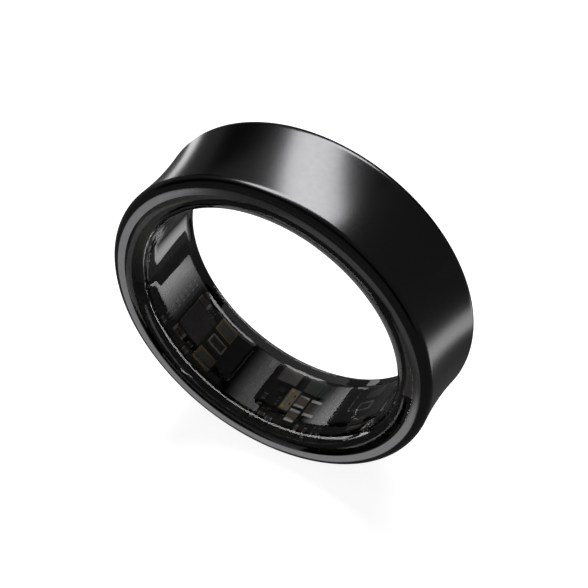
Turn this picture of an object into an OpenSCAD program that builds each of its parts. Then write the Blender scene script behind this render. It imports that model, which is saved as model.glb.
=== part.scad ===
// Smart ring standing on its rim: the finger goes along Y, +Z is up, and the sensors
// look up at the finger from the bottom. The origin is the middle of the finger bore.
// Clock angles run from +X through +Z, so the sensor side is at 270 degrees.

/* [Finger bore] */
// Diameter of the straight middle of the bore
bore_d = 18.9; // [16:0.1:22]
// Length of the straight middle of the bore along the finger
bore_straight_l = 4; // [3:0.1:4.8]
// Radial flare of the bore from its straight middle to its rounded ends
bore_flare = 0.15; // [0.05:0.01:0.25]

/* [Ring] */
// Width of the ring along the finger
ring_w = 7; // [6.8:0.1:8.5]

/* [Outer band] */
// Wall of the metal band at its waist, over the channel
band_t = 0.78; // [0.6:0.01:1.2]
// Depth of the hollow waist below the two lips
waist_dip = 0.17; // [0.05:0.01:0.3]
// Radius that rounds each lip
lip_r = 0.62; // [0.4:0.01:0.75]
// Width of the land at each end of the channel
land_w = 0.6; // [0.4:0.05:0.75]
// Height of the lands above the floor of the channel
land_h = 0.19; // [0.1:0.01:0.3]

/* [Inner liner] */
// Skin of resin between the finger and the parts
liner_skin_t = 0.35; // [0.25:0.01:0.6]
// Width of the resin wall at each end of the cavity
end_wall_w = 0.85; // [0.8:0.01:0.95]
// Flat ring of resin on each end face, next to the metal
end_flat_w = 0.4; // [0.2:0.01:0.6]
// Drop of the rounded edge from the end face to the bore
edge_drop = 0.46; // [0.3:0.01:0.6]

/* [Sensor windows] */
// Width of the two side windows across the finger
side_window_w = 5.4; // [4.4:0.1:5.6]
// Width of the centre window across the finger
centre_window_w = 3.8; // [3:0.1:4.2]
// Length of the windows along the finger
window_l = 4.2; // [3.4:0.1:4.6]
// Corner radius of the windows
window_corner_r = 0.55; // [0.4:0.01:0.8]
// Height that the windows stand proud of the bore
dome_h = 0.18; // [0.08:0.01:0.19]
// Width of the rounded border of each window
dome_border_w = 0.4; // [0.2:0.01:0.5]
// Groove between each window and the liner
window_gap = 0.03; // [0.02:0.01:0.06]

/* [Sensor board] */
// Thickness of the flexible board
board_t = 0.12; // [0.08:0.01:0.2]
// Room that the liner leaves for parts on the board
parts_room = 0.8; // [0.76:0.01:1.1]
// Thickness of the glue film between the board and the band
bond_t = 0.05; // [0.03:0.01:0.1]
// Clear space between neighbouring large parts
part_gap = 0.2; // [0.12:0.01:0.3]
// Bare margin of the main islands at their two ends
island_margin = 0.38; // [0.3:0.01:0.5]

/* [Chips] */
// Width of the optical and main chips across the finger
chip_w = 2.34; // [2:0.01:2.5]
// Length of the optical and main chips along the finger
chip_l = 2.45; // [2:0.01:2.5]
// Height of the optical and main chips
chip_h = 0.45; // [0.3:0.01:0.6]
// Side of the square power chip
power_chip_w = 1.5; // [1.2:0.01:1.6]
// Width of the motion sensor across the finger
motion_w = 1.6; // [1.2:0.01:1.7]
// Length of the motion sensor along the finger
motion_l = 1.35; // [1:0.01:1.4]
// Height of the motion sensor
motion_h = 0.55; // [0.4:0.01:0.65]
// Side of the square memory chip
memory_w = 1.3; // [1:0.01:1.4]
// Height of the small chips
small_chip_h = 0.35; // [0.2:0.01:0.5]
// Side of the small square switch chip
switch_w = 0.48; // [0.4:0.01:0.6]

/* [Optics] */
// Width of the side photodiodes across the finger
diode_w = 1.7; // [1.4:0.01:1.75]
// Length of the side photodiodes along the finger
diode_l = 1.1; // [0.9:0.01:1.2]
// Height of all photodiodes
diode_h = 0.34; // [0.2:0.01:0.5]
// Width of the gold edge that frames each side photodiode
diode_edge_w = 0.09; // [0.06:0.01:0.14]
// Length of the light boxes along the finger
light_box_l = 0.86; // [0.7:0.01:0.95]
// Height of the light boxes
light_box_h = 0.66; // [0.5:0.01:0.7]
// Wall of the light boxes
light_box_wall = 0.13; // [0.1:0.01:0.17]
// Side of the square light dies
die_w = 0.22; // [0.16:0.01:0.26]
// Height of the light dies
die_h = 0.15; // [0.1:0.01:0.2]
// Width of the ceramic light module across the finger
module_w = 0.78; // [0.6:0.01:0.85]
// Length of the ceramic light module along the finger
module_l = 1.98; // [1.7:0.01:2]
// Height of the ceramic light module
module_h = 0.36; // [0.25:0.01:0.5]
// Width of the centre photodiode across the finger
centre_diode_w = 2; // [1.6:0.01:2.05]
// Length of the centre photodiode along the finger
centre_diode_l = 1.4; // [1.2:0.01:1.45]

/* [Small parts] */
// Length of the large capacitors
large_cap_l = 1.12; // [1:0.01:1.16]
// Width of the large capacitors
large_cap_w = 0.8; // [0.6:0.01:0.85]
// Height of the large capacitors
large_cap_h = 0.52; // [0.4:0.01:0.6]
// Length of the medium capacitors
medium_cap_l = 1.2; // [1:0.01:1.3]
// Width of the medium capacitors
medium_cap_w = 0.58; // [0.4:0.01:0.62]
// Height of the medium capacitors
medium_cap_h = 0.4; // [0.3:0.01:0.5]
// Length of the smallest parts
tiny_l = 0.54; // [0.4:0.01:0.58]
// Width of the smallest parts
tiny_w = 0.3; // [0.2:0.01:0.34]
// Height of the smallest parts
tiny_h = 0.26; // [0.15:0.01:0.35]
// Width of the power inductor across the finger
inductor_w = 1; // [0.8:0.01:1.05]
// Length of the power inductor along the finger
inductor_l = 1.64; // [1.4:0.01:1.68]
// Height of the power inductor
inductor_h = 0.6; // [0.4:0.01:0.7]
// Side of the square test pads
pad_w = 0.13; // [0.08:0.01:0.16]
// Thickness of the test pads
pad_t = 0.04; // [0.02:0.01:0.08]

/* [Battery] */
// Angle of bare board between each end of the curved cell and the power chip's island
cell_end_angle = 5.75; // [4.5:0.05:20]
// Gap between the cell and the resin wall on each side of it
cell_gap = 0.2; // [0.1:0.01:0.6]
// Corner radius of the cell's section
cell_corner_r = 0.2; // [0.1:0.01:0.3]
// Thickness of the insulating wrap
wrap_t = 0.04; // [0.03:0.01:0.06]
// Width of each battery tab
tab_w = 0.8; // [0.5:0.05:1]
// Thickness of each battery tab
tab_t = 0.08; // [0.05:0.01:0.12]

/* [Coil and antenna] */
// Angle that the charging coil spans
coil_span = 58; // [48:1:64]
// Number of turns in the charging coil
coil_turns = 5; // [3:1:6]
// Width of one track of the coil
track_w = 0.17; // [0.12:0.01:0.2]
// Spacing of the tracks
track_pitch = 0.3; // [0.26:0.01:0.32]
// Thickness of the tracks of the coil and the antenna
track_t = 0.04; // [0.03:0.01:0.06]
// Thickness of the film that carries the coil
coil_film_t = 0.04; // [0.03:0.01:0.06]
// Thickness of the ferrite sheet behind the coil
ferrite_t = 0.08; // [0.05:0.01:0.1]
// Width of each leg of the antenna
antenna_leg_w = 0.35; // [0.25:0.01:0.45]

/* [Hidden] */

turn_fn = 180;
corner_fn = 32;
arc_steps = 10;
cut_over = 0.5; // overrun of every cut
layer_gap = 0.01; // clearance between curved layers

// Half widths along the finger, from the middle of the ring out
ring_hw = ring_w / 2;
channel_hw = ring_hw - land_w;
cavity_hw = ring_hw - end_wall_w;
board_margin = 0.05;
board_hw = cavity_hw - board_margin;
coil_edge = 0.4; // from the middle of the coil's outer track to the edge of the board
coil_hw = board_hw - coil_edge;
cell_w = 2 * (cavity_hw - cell_gap);

// Islands of rigid board: every part sits on a flat face at the same distance
main_island_w = chip_w + part_gap + diode_w + 2 * island_margin;
column_island_w = memory_w + island_margin;
power_island_w = power_chip_w + island_margin / 2;
guard_island_w = tiny_w * 5;
heat_sensor_w = 0.34;
heat_sensor_l = 0.76;
heat_island_w = heat_sensor_w + island_margin * 2.5;
pads_island_w = pad_w * 7;
island_edge_t = 0.02;

// Radii from the finger out
bore_r = bore_d / 2;
liner_back_r = bore_r + liner_skin_t;
face_r = liner_back_r + parts_room;
board_in_r = sqrt(pow(face_r + island_edge_t, 2) + pow(main_island_w / 2, 2));
board_out_r = board_in_r + board_t;
bond_in_r = board_out_r + layer_gap;
bond_out_r = bond_in_r + bond_t;
channel_r = bond_out_r + layer_gap;
land_r = channel_r - land_h;
waist_r = channel_r + band_t;
crest_r = waist_r + waist_dip;

// Clock angles of the stations, counted from the bottom of the ring
function half_angle(w) = atan(w / 2 / face_r);
bottom_angle = 270;
island_gap_angle = 0.65; // bare board between neighbouring islands
window_angle = 41.4;
main_angle = 45.5;
centre_angle = 2.5;
column_angle = main_angle + half_angle(main_island_w) + half_angle(column_island_w) + island_gap_angle;
power_angle = column_angle + half_angle(column_island_w) + half_angle(power_island_w) + island_gap_angle;
guard_angle = column_angle + half_angle(column_island_w) + half_angle(guard_island_w) + island_gap_angle;
heat_angle = centre_angle - half_angle(main_island_w) - half_angle(heat_island_w) - island_gap_angle;
pads_angle = centre_angle + half_angle(main_island_w) + half_angle(pads_island_w) + island_gap_angle;
cell_span = 2 * (180 - power_angle - half_angle(power_island_w) - cell_end_angle);
lead_margin_angle = 2.2; // from the battery's end to the leads of the coil and the antenna
lead_angle = 180 - cell_span / 2 - lead_margin_angle;
board_angle = lead_angle + lead_margin_angle / 2;
coil_margin_angle = 3.8; // from the battery's end to the coil
film_margin_angle = 2; // of the coil's film round the coil

// Radii over the battery, from the liner out
film_in_r = liner_back_r + 2 * layer_gap;
track_in_r = film_in_r + coil_film_t + layer_gap;
bridge_in_r = track_in_r + track_t + layer_gap;
ferrite_in_r = bridge_in_r + track_t + layer_gap;
wrap_in_r = ferrite_in_r + ferrite_t + layer_gap;
cell_in_r = wrap_in_r + wrap_t + layer_gap;
cell_out_r = bond_in_r - layer_gap;

// Outline of the band: a hollow waist that runs smoothly into two round lips
lip_y = ring_hw - lip_r;
waist_arc_r = (pow(lip_y, 2) - 2 * lip_r * waist_dip + pow(waist_dip, 2)) / (2 * waist_dip);
lip_turn = asin(lip_y / (waist_arc_r + lip_r));

// Outline of the liner's edge: an arc that leaves the end face flat
edge_span = land_r - end_flat_w - bore_r - bore_flare;
edge_arc_r = (pow(edge_span, 2) + pow(edge_drop, 2)) / (2 * edge_drop);
edge_turn = asin(edge_span / edge_arc_r);
corner_share = 0.08; // of the edge arc and of the flare, cut off at their corner

// Places on the main islands, measured from the middle of an island
chip_t = chip_w / 2 + island_margin - main_island_w / 2;
optics_t = main_island_w / 2 - island_margin - diode_w / 2;
diode_y = light_box_l / 2 + part_gap * 2 + diode_edge_w + diode_l / 2;
chip_row_y = chip_l / 2 + part_gap / 2 + medium_cap_w / 2;
pad_pitch = pad_w * 2.4;
pad_row_y = chip_l / 2 + pad_w * 1.8;
light_box_w = diode_w - part_gap;
light_box_floor = 0.08;
die_step_share = 0.3; // of the light box's width, between dies

// Places on the centre island
island_hw = main_island_w / 2;
module_t_share = -0.136;
module_pad_t = 0.03;
module_pad_w = 0.26;
module_die_w = 0.14;
module_bar_w = 0.07;
terminal_share = 0.2; // of a small part's length, on each end
inductor_terminal_share = 0.17;
diode_lens_gap = 0.02;

// Files of parts from the far edge of the board to the near one: the parts' lengths, and the
// shares of the spare length in front of each part
crystal_w = 1.2;
crystal_l = 0.9;
optics_file = [centre_diode_l, inductor_l, tiny_l];
optics_shares = [0.235, 0.289, 0.433];
supply_file = [centre_diode_l, large_cap_l, large_cap_l];
supply_shares = [0.243, 0.292, 0.157];
sensor_file = [motion_l, switch_w, tiny_l, tiny_l, tiny_l];
sensor_shares = [0.217, 0.223, 0.291, 0.167, 0.063];
module_file = [motion_l, module_l, tiny_w];
module_shares = [0.242, 0.096, 0.592];
switch_file = [motion_l, switch_w, tiny_w, tiny_w];
switch_shares = [0.137, 0.141, 0.528, 0.098];
memory_file = [memory_w, crystal_l, tiny_w, tiny_w, tiny_w];
memory_shares = [0.181, 0.181, 0.376, 0.055, 0.055];
function total(v, k = 0) = k < len(v) ? v[k] + total(v, k + 1) : 0;
function places(file, shares) = let (spare = 2 * board_hw - total(file)) [for (k = [0:len(file) - 1])
    board_hw - total([for (j = [0:k]) shares[j] * spare + file[j]]) + file[k] / 2];
optics_y = places(optics_file, optics_shares);
supply_y = places(supply_file, supply_shares);
sensor_y = places(sensor_file, sensor_shares);
module_y = places(module_file, module_shares);
switch_y = places(switch_file, switch_shares);
memory_y = places(memory_file, memory_shares);

// Shares of an island's half width, of the board's half width, or of both
large_cap_t_share = 0.23;
centre_cap_t_shares = [-0.62, 0.55, 0.84];
centre_resistor_t_shares = [-0.86, -0.36];
column_t_share = 0.16;
column_cap_y_shares = [0.72, 0.04, -0.38];
column_resistor_y_shares = [0.5, 0.26, -0.17, -0.62, -0.84];
main_cap_t_share = 0.1;
main_cap_y_shares = [0.2, 0.65]; // of the board beyond the chip
main_pad_t_shares = [0.3, 0.2, 0.1];
centre_pad_shares = [[-0.47, -0.12], [-0.47, -0.24], [-0.47, -0.36]];
pad_row_shares = [for (k = [-9:2:5]) k / 10];

// Turns a profile of radius and finger direction right round, or from one clock angle to another
module turned() rotate([-90, 0, 0]) rotate_extrude($fn = turn_fn) children();
module sector(from, to)
    rotate([-90, 0, 0]) rotate([0, 0, -to]) rotate_extrude(angle = to - from, $fn = turn_fn) children();

// A frame whose X points out from the finger, Y along it and Z round the ring
module station(angle) rotate([0, -angle, 0]) children();

// A box that sits on the flat face of the island at this angle
module seated(angle, t, y, w, l, h, lift = 0)
    station(bottom_angle + angle)
        translate([face_r - lift - h, y - l / 2, t - w / 2]) cube([h, l, w]);

// A thin strip on a cylinder, between two angles and two places along the finger
module strip(r, t, from, to, y_from, y_to)
    sector(from, to) translate([r, y_from]) square([t, y_to - y_from]);

module rounded(w, l, r) {
    square([w - 2 * r, l], center = true);
    square([w, l - 2 * r], center = true);
    for (x = [-1, 1], y = [-1, 1])
        translate([x * (w / 2 - r), y * (l / 2 - r)]) circle(r, $fn = corner_fn);
}

// Outer band of metal, with a channel inside for the parts
function band_side() = concat(
    [for (k = [0:arc_steps]) let (a = lip_turn * k / arc_steps)
        [waist_r + waist_arc_r * (1 - cos(a)), waist_arc_r * sin(a)]],
    [for (k = [1:arc_steps]) let (a = -lip_turn + (90 + lip_turn) * k / arc_steps)
        [crest_r - lip_r + lip_r * cos(a), lip_y + lip_r * sin(a)]],
    [[land_r, ring_hw], [land_r, channel_hw], [channel_r, channel_hw]]);

function both_sides(points) = concat(
    points, [for (k = [len(points) - 1:-1:0]) if (points[k][1] > 0) [points[k][0], -points[k][1]]]);

module outer_band() color([0.09, 0.09, 0.1]) turned() polygon(both_sides(band_side()));

// Liner of smoky resin: a comfort bore with rounded edges, keyed into the channel
function liner_side() = concat(
    [[bore_r, bore_straight_l / 2],
        [bore_r + bore_flare * (1 - corner_share),
            ring_hw - edge_drop - corner_share * (ring_hw - edge_drop - bore_straight_l / 2)]],
    [for (k = [arc_steps:-1:0]) let (a = edge_turn * (1 - corner_share) * k / arc_steps)
        [land_r - end_flat_w - edge_arc_r * sin(a), ring_hw - edge_arc_r * (1 - cos(a))]],
    [[land_r - layer_gap, ring_hw], [land_r - layer_gap, channel_hw - layer_gap],
        [channel_r - layer_gap, channel_hw - layer_gap], [channel_r - layer_gap, cavity_hw],
        [liner_back_r, cavity_hw]]);

module window_cut(angle, w)
    station(bottom_angle + angle) rotate([90, 0, 90])
        linear_extrude(channel_r)
            rotate(90) rounded(w + 2 * window_gap, window_l + 2 * window_gap, window_corner_r + window_gap);

module inner_liner() color([0.13, 0.13, 0.14, 0.6]) difference() {
    turned() polygon(both_sides(liner_side()));
    for (side = [-1, 1]) window_cut(side * window_angle, side_window_w);
    window_cut(0, centre_window_w);
}

// Pillow windows: rings of points run in from the rounded outline, over the round border
corner_points = 4;
side_points = 8;
inner_rings = 4;
border_rings = 3;
function corner_arc(q, w, l, r) = let (sx = (q == 0 || q == 3) ? 1 : -1, sy = q < 2 ? 1 : -1)
    [for (k = [0:corner_points]) let (a = 90 * (q + k / corner_points))
        [sx * (w / 2 - r) + r * cos(a), sy * (l / 2 - r) + r * sin(a)]];
function side_run(sx, sy, w, l, r) =
    [for (k = [1:side_points - 1]) [sx * (w / 2 - r) * (1 - 2 * k / side_points), sy * l / 2]];
function rounded_outline(w, l, r) = concat(
    corner_arc(0, w, l, r), side_run(1, 1, w, l, r), corner_arc(1, w, l, r),
    corner_arc(2, w, l, r), side_run(-1, -1, w, l, r), corner_arc(3, w, l, r));
function outline(w, l, inset) =
    rounded_outline(w - 2 * inset, l - 2 * inset, max(window_corner_r - inset, window_gap));
function on_cylinder(p, r) = [sqrt(r * r - p[0] * p[0]), p[1], p[0]];
function dome_ring(w, l, k) = let (a = 90 * k / border_rings, inset = dome_border_w * (1 - cos(a)))
    [for (p = outline(w, l, inset)) on_cylinder(p, bore_r - dome_h * sin(a))];
function flat_ring(w, l, inset, share, r) = [for (p = outline(w, l, inset)) on_cylinder(p * share, r)];
function window_rings(w, l) = concat(
    [for (k = [1:inner_rings - 1]) flat_ring(w, l, 0, k / inner_rings, liner_back_r)],
    [flat_ring(w, l, 0, 1, liner_back_r)],
    [for (k = [0:border_rings]) dome_ring(w, l, k)],
    [for (k = [inner_rings - 1:-1:1]) flat_ring(w, l, dome_border_w, k / inner_rings, bore_r - dome_h)]);

module window(angle, w) {
    rings = window_rings(w, window_l);
    n = len(rings[0]);
    m = len(rings);
    points = concat([for (ring = rings, p = ring) p], [[liner_back_r, 0, 0], [bore_r - dome_h, 0, 0]]);
    sides = [for (i = [0:m - 2], k = [0:n - 1]) let (a = i * n + k, b = i * n + (k + 1) % n)
        each [[a, b + n, b], [a, a + n, b + n]]];
    back = [for (k = [0:n - 1]) [m * n, k, (k + 1) % n]];
    front = [for (k = [0:n - 1]) [m * n + 1, (m - 1) * n + (k + 1) % n, (m - 1) * n + k]];
    station(bottom_angle + angle) polyhedron(points, concat(sides, back, front));
}

module left_window() color([0.2, 0.2, 0.21, 0.5]) window(-window_angle, side_window_w);
module centre_window() color([0.2, 0.2, 0.21, 0.5]) window(0, centre_window_w);
module right_window() color([0.2, 0.2, 0.21, 0.5]) window(window_angle, side_window_w);

// Glue film that holds the board and the battery to the band
module bond_film() color([0.75, 0.7, 0.5])
    turned() translate([bond_in_r, -board_hw]) square([bond_t, 2 * board_hw]);

// Flexible board round the sensor side
module flex_board() color([0.08, 0.14, 0.1])
    strip(board_in_r, board_t, bottom_angle - board_angle, bottom_angle + board_angle, -board_hw, board_hw);

// Rigid islands that give the parts flat faces on the curved board
module island(angle, w) station(bottom_angle + angle) intersection() {
    translate([face_r, -board_hw, -w / 2]) cube([board_in_r - face_r, 2 * board_hw, w]);
    rotate([90, 0, 0]) cylinder(r = board_in_r - layer_gap, h = ring_w, center = true, $fn = turn_fn);
}

module board_islands() color([0.06, 0.12, 0.08]) {
    for (side = [-1, 1]) {
        island(side * main_angle, main_island_w);
        island(side * column_angle, column_island_w);
    }
    island(-power_angle, power_island_w);
    island(centre_angle, main_island_w);
    island(heat_angle, heat_island_w);
    island(pads_angle, pads_island_w);
}

// Chips
module optical_chip() color([0.2, 0.17, 0.22])
    seated(-main_angle, chip_t, 0, chip_w, chip_l, chip_h);
module main_processor() color([0.14, 0.14, 0.15])
    seated(main_angle, -chip_t, 0, chip_w, chip_l, chip_h);
module power_chip() color([0.12, 0.12, 0.12])
    seated(-power_angle, 0, 0, power_chip_w, power_chip_w, small_chip_h);
module motion_sensor() color([0.25, 0.26, 0.27])
    seated(centre_angle, -island_hw + island_margin + motion_w / 2, sensor_y[0],
        motion_w, motion_l, motion_h);
module memory_chip() color([0.12, 0.12, 0.13])
    seated(column_angle, 0, memory_y[0], memory_w, memory_w, small_chip_h);
module switch_chip() color([0.03, 0.03, 0.03])
    seated(centre_angle, -island_hw / 2, sensor_y[1], switch_w, switch_w, small_chip_h);
module crystal_can() color([0.7, 0.7, 0.68])
    seated(column_angle, 0, memory_y[1], crystal_w, crystal_l, small_chip_h);
module temperature_sensor() color([0.45, 0.47, 0.48])
    seated(heat_angle, 0, board_hw - island_margin - heat_sensor_l / 2,
        heat_sensor_w, heat_sensor_l, small_chip_h);

// Side optics: a light box between two photodiodes on each main island
module photodiodes() color([0.55, 0.56, 0.57])
    for (side = [-1, 1], end = [-1, 1])
        seated(side * main_angle, -side * optics_t, end * diode_y,
            diode_w - 2 * diode_edge_w, diode_l - 2 * diode_edge_w, diode_h);

module frame_box(angle, t, y, w, l, h, wall, lift = 0)
    station(bottom_angle + angle) translate([face_r - lift - h, y, t]) difference() {
        translate([0, -l / 2, -w / 2]) cube([h, l, w]);
        translate([-cut_over, wall - l / 2, wall - w / 2])
            cube([h + 2 * cut_over, l - 2 * wall, w - 2 * wall]);
    }

module photodiode_frames() color([0.75, 0.6, 0.25])
    for (side = [-1, 1], end = [-1, 1])
        frame_box(side * main_angle, -side * optics_t, end * diode_y,
            diode_w, diode_l, diode_h - diode_lens_gap, diode_edge_w);

module light_boxes() color([0.6, 0.6, 0.6])
    for (side = [-1, 1]) {
        seated(side * main_angle, -side * optics_t, 0, light_box_w, light_box_l, light_box_floor);
        frame_box(side * main_angle, -side * optics_t, 0, light_box_w, light_box_l,
            light_box_h - light_box_floor, light_box_wall, light_box_floor);
    }

module light_dies() color([0.3, 0.5, 0.4])
    for (side = [-1, 1], k = [-1:1])
        seated(side * main_angle, -side * optics_t + k * die_step_share * (light_box_w - 2 * light_box_wall),
            0, die_w, die_w, die_h, light_box_floor);

// Centre optics: a ceramic module with gold pads, and a photodiode under green glass
module_t = module_t_share * island_hw;
module light_module() color([0.85, 0.85, 0.82])
    seated(centre_angle, module_t, module_y[1], module_w, module_l, module_h);

module module_pad(t, y, w, l)
    seated(centre_angle, module_t + t, module_y[1] + y, w, l, module_pad_t, module_h);

pad_column = module_w / 4;
pad_end_y = module_l / 2 - module_pad_w / 2 - module_bar_w;
module module_pads() color([0.8, 0.6, 0.2]) {
    for (end = [-1, 1]) module_pad(-pad_column, end * pad_end_y, module_pad_w, module_pad_w);
    module_pad(-pad_column, 0, module_bar_w, 2 * pad_end_y - module_pad_w);
    for (end = [-1, 1]) module_pad(pad_column, end * pad_end_y / 2, module_pad_w, module_pad_w);
}

module module_dies() color([0.1, 0.08, 0.06])
    for (end = [-1, 1])
        seated(centre_angle, module_t + pad_column, module_y[1] + end * pad_end_y / 2,
            module_die_w, module_die_w, module_pad_t * 2, module_h + module_pad_t);

module centre_photodiode() color([0.35, 0.45, 0.42])
    seated(centre_angle, island_hw - island_margin - centre_diode_w / 2, optics_y[0],
        centre_diode_w, centre_diode_l, diode_h);

// One small part, as its body between two terminals, lying along the board or turned across it
module small_body(angle, t, y, l, w, h, share, turns) {
    body_l = l * (1 - 2 * share);
    seated(angle, t, y, turns == 1 ? w : body_l, turns == 1 ? body_l : w, h);
}
module small_terminals(angle, t, y, l, w, h, share, turns) {
    end_l = l * share;
    reach = (l - end_l) / 2;
    for (end = [-1, 1])
        seated(angle, t + (turns == 1 ? 0 : end * reach), y + (turns == 1 ? end * reach : 0),
            turns == 1 ? w : end_l, turns == 1 ? end_l : w, h);
}

// Runs one of the two modules above over every capacitor
module each_capacitor(bodies) {
    for (side = [-1, 1], end = [-1, 1])
        capacitor(bodies, side * main_angle, -side * (chip_t - (chip_w - medium_cap_l) / 2),
            end * chip_row_y, medium_cap_l, medium_cap_w, medium_cap_h, 0);
    for (side = [-1, 1], y = main_cap_y_shares)
        tiny_capacitor(bodies, side * main_angle, side * main_cap_t_share * island_hw,
            -chip_l / 2 - y * (board_hw - chip_l / 2), 0);
    for (k = [1, 2])
        capacitor(bodies, centre_angle, large_cap_t_share * island_hw, supply_y[k],
            large_cap_l, large_cap_w, large_cap_h, 1);
    for (k = [2, 3])
        tiny_capacitor(bodies, centre_angle, centre_cap_t_shares[0] * island_hw, switch_y[k], 0);
    for (k = [1, 2])
        tiny_capacitor(bodies, centre_angle, centre_cap_t_shares[k] * island_hw, optics_y[2], 1);
    for (y = column_cap_y_shares)
        tiny_capacitor(bodies, -column_angle, column_t_share * column_island_w / 2, y * board_hw, 0);
}
module tiny_capacitor(bodies, angle, t, y, turns)
    capacitor(bodies, angle, t, y, tiny_l, tiny_w, tiny_h, turns);
module capacitor(bodies, angle, t, y, l, w, h, turns) {
    if (bodies) small_body(angle, t, y, l, w, h, terminal_share, turns);
    else small_terminals(angle, t, y, l, w, h, terminal_share, turns);
}
module capacitors() color([0.5, 0.42, 0.36]) each_capacitor(true);
module capacitor_terminals() color([0.7, 0.7, 0.7]) each_capacitor(false);

// Runs one of the two modules above over every resistor
module each_resistor(bodies) {
    for (k = [2:4])
        resistor(bodies, centre_angle, centre_resistor_t_shares[0] * island_hw, sensor_y[k], 1);
    resistor(bodies, centre_angle, centre_resistor_t_shares[1] * island_hw, module_y[2], 0);
    for (y = column_resistor_y_shares)
        resistor(bodies, -column_angle, column_t_share * column_island_w / 2, y * board_hw, 0);
    for (k = [2:4])
        resistor(bodies, column_angle, column_t_share * column_island_w / 2, memory_y[k], 0);
}
module resistor(bodies, angle, t, y, turns) {
    if (bodies) small_body(angle, t, y, tiny_l, tiny_w, tiny_h, terminal_share, turns);
    else small_terminals(angle, t, y, tiny_l, tiny_w, tiny_h, terminal_share, turns);
}
module resistors() color([0.3, 0.32, 0.42]) each_resistor(true);
module resistor_terminals() color([0.72, 0.72, 0.72]) each_resistor(false);

inductor_t = island_hw - island_margin - inductor_w / 2;
inductor_y = optics_y[1];
module power_inductor() color([0.3, 0.3, 0.31])
    small_body(centre_angle, inductor_t, inductor_y, inductor_l, inductor_w, inductor_h,
        inductor_terminal_share, 1);
module inductor_terminals() color([0.75, 0.75, 0.74])
    small_terminals(centre_angle, inductor_t, inductor_y, inductor_l, inductor_w, inductor_h,
        inductor_terminal_share, 1);

// Bare test pads beside the chips
module test_pads() color([0.85, 0.85, 0.82]) {
    for (side = [-1, 1], t = main_pad_t_shares, k = [0, 1])
        seated(side * main_angle, side * t * island_hw, pad_row_y + k * pad_pitch, pad_w, pad_w, pad_t);
    for (p = centre_pad_shares)
        seated(centre_angle, p[0] * island_hw, p[1] * board_hw, pad_w, pad_w, pad_t);
    for (t = [-1, 1], p = pad_row_shares)
        seated(pads_angle, t * pads_island_w / 4, p * board_hw, pad_w, pad_w, pad_t);
}

// Battery over the top of the ring
cell_from = 90 - cell_span / 2;
cell_to = 90 + cell_span / 2;
module battery_cell() color([0.5, 0.51, 0.53])
    sector(cell_from, cell_to)
        translate([(cell_in_r + cell_out_r) / 2, 0])
            polygon(rounded_outline(cell_out_r - cell_in_r, cell_w, cell_corner_r));

module battery_wrap() color([0.1, 0.1, 0.1])
    strip(wrap_in_r, wrap_t, cell_from, cell_to, -cell_w / 2, cell_w / 2);

tab_in_r = face_r - tab_t - 2 * layer_gap;
guard_chip_l = 0.5;
tab_y = guard_chip_l + part_gap * 1.5 + tab_w / 2;
module battery_tabs() color([0.7, 0.68, 0.6])
    for (end = [-1, 1])
        strip(tab_in_r, tab_t, bottom_angle + guard_angle, cell_from + 360,
            end * tab_y - tab_w / 2, end * tab_y + tab_w / 2);

// Board that guards the battery, with its two small chips between the tabs
module protection_board() color([0.05, 0.13, 0.09]) island(guard_angle, guard_island_w);
module protection_chips() color([0.1, 0.1, 0.1])
    for (end = [-1, 1])
        seated(guard_angle, 0, end * (guard_chip_l + part_gap) / 2, tiny_w, guard_chip_l, tiny_h);

// Charging coil: one etched track that spirals inwards, with a bridge back out from its inner end
lead_at = bottom_angle - lead_angle;
coil_to = cell_to - coil_margin_angle;
coil_from = coil_to - coil_span;
coil_at = (coil_from + coil_to) / 2;
coil_ht = track_in_r * sin(coil_span / 2);
lead_t = track_in_r * sin(lead_at - coil_at);
coil_inner = coil_turns - 1;
function coil_y(k) = coil_hw - k * track_pitch;
function coil_t(k) = coil_ht - k * track_pitch;

// A straight run of track between two corners, drawn flat: finger direction, then round the ring
module run(y_from, t_from, y_to, t_to)
    translate([min(y_from, y_to) - track_w / 2, min(t_from, t_to) - track_w / 2])
        square([abs(y_to - y_from) + track_w, abs(t_to - t_from) + track_w]);

module coil_pattern()
    for (k = [0:coil_inner]) {
        run(coil_y(k), -coil_t(k), coil_y(k), k == 0 ? lead_t : coil_t(k - 1));
        run(-coil_y(k), -coil_t(k), coil_y(k), -coil_t(k));
        run(-coil_y(k), -coil_t(k), -coil_y(k), coil_t(k));
        run(-coil_y(k), coil_t(k), k < coil_inner ? coil_y(k + 1) : 0, coil_t(k));
    }

// Presses a flat pattern on to a thin cylinder at the coil
module pressed(r, t) intersection() {
    station(coil_at) rotate([90, 0, 90]) linear_extrude(channel_r) children();
    turned() translate([r, -board_hw]) square([t, 2 * board_hw]);
}
post_w = track_w * 0.7; // of each plated post that joins a track to the bridge or the board
module post(at, t, y, from_r, to_r)
    station(at) translate([from_r, y - post_w / 2, t - post_w / 2])
        cube([to_r - from_r, post_w, post_w]);

module charging_coil() color([0.75, 0.45, 0.25]) {
    pressed(track_in_r, track_t) coil_pattern();
    pressed(bridge_in_r, track_t) run(0, coil_t(coil_inner), 0, lead_t);
    post(asin(coil_t(coil_inner) / track_in_r) + coil_at, 0, 0, track_in_r, bridge_in_r + track_t);
    post(lead_at, 0, coil_y(0), track_in_r, board_in_r - layer_gap);
    post(lead_at, 0, 0, bridge_in_r, board_in_r - layer_gap);
}

module coil_film() color([0.6, 0.4, 0.15, 0.8])
    strip(film_in_r, coil_film_t, coil_from - film_margin_angle, coil_to + film_margin_angle,
        board_margin - board_hw, board_hw - board_margin);

module ferrite_sheet() color([0.2, 0.19, 0.18])
    strip(ferrite_in_r, ferrite_t, coil_from - film_margin_angle, coil_to + film_margin_angle,
        -cell_w / 2, cell_w / 2);

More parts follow.
